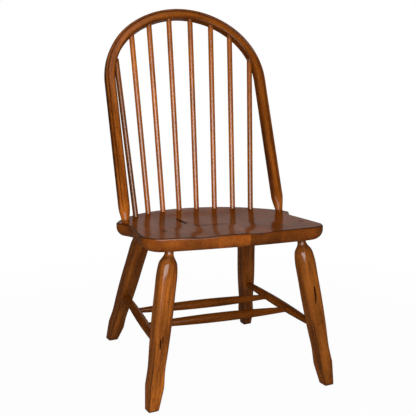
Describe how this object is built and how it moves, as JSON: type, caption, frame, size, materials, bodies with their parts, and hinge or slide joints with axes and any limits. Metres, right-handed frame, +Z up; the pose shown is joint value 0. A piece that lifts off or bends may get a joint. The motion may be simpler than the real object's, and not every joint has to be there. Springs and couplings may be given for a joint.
{
  "type": "bow back chair",
  "caption": "Wooden bow back side chair: saddled plank seat, leaning spindle back in a bent bow, splayed square legs with turned tops, tied by swelled stretchers.",
  "frame": {"origin": "on the floor, under the middle of the chair's box", "axes": "+Z up, the chair faces -Y, +X to the right seen from the front"},
  "size_m": [0.5619, 0.6116, 1.0934],
  "materials": {
    "seat_wood": "warm brown stain under gloss lacquer, darker glaze along the edges",
    "bow_wood": "warm brown stain under gloss lacquer, dark glaze in the groove",
    "spindle_wood": "warm brown stain under gloss lacquer",
    "leg_wood": "warm brown stain under gloss lacquer, dark distress marks",
    "stretcher_wood": "warm brown stain under gloss lacquer"
  },
  "bodies": {
    "root": {"seat_board_1": "seat_wood", "seat_board_2": "seat_wood", "seat_board_3": "seat_wood", "seat_board_4": "seat_wood", "seat_board_5": "seat_wood", "seat_board_6": "seat_wood", "bow": "bow_wood", "spindle_1": "spindle_wood", "spindle_2": "spindle_wood", "spindle_3": "spindle_wood", "spindle_4": "spindle_wood", "spindle_5": "spindle_wood", "spindle_6": "spindle_wood", "spindle_7": "spindle_wood", "spindle_8": "spindle_wood", "leg_front_left": "leg_wood", "leg_front_right": "leg_wood", "leg_rear_left": "leg_wood", "leg_rear_right": "leg_wood", "stretcher_left": "stretcher_wood", "stretcher_right": "stretcher_wood", "stretcher_front_cross": "stretcher_wood", "stretcher_rear_cross": "stretcher_wood"}
  },
  "joints": []
}
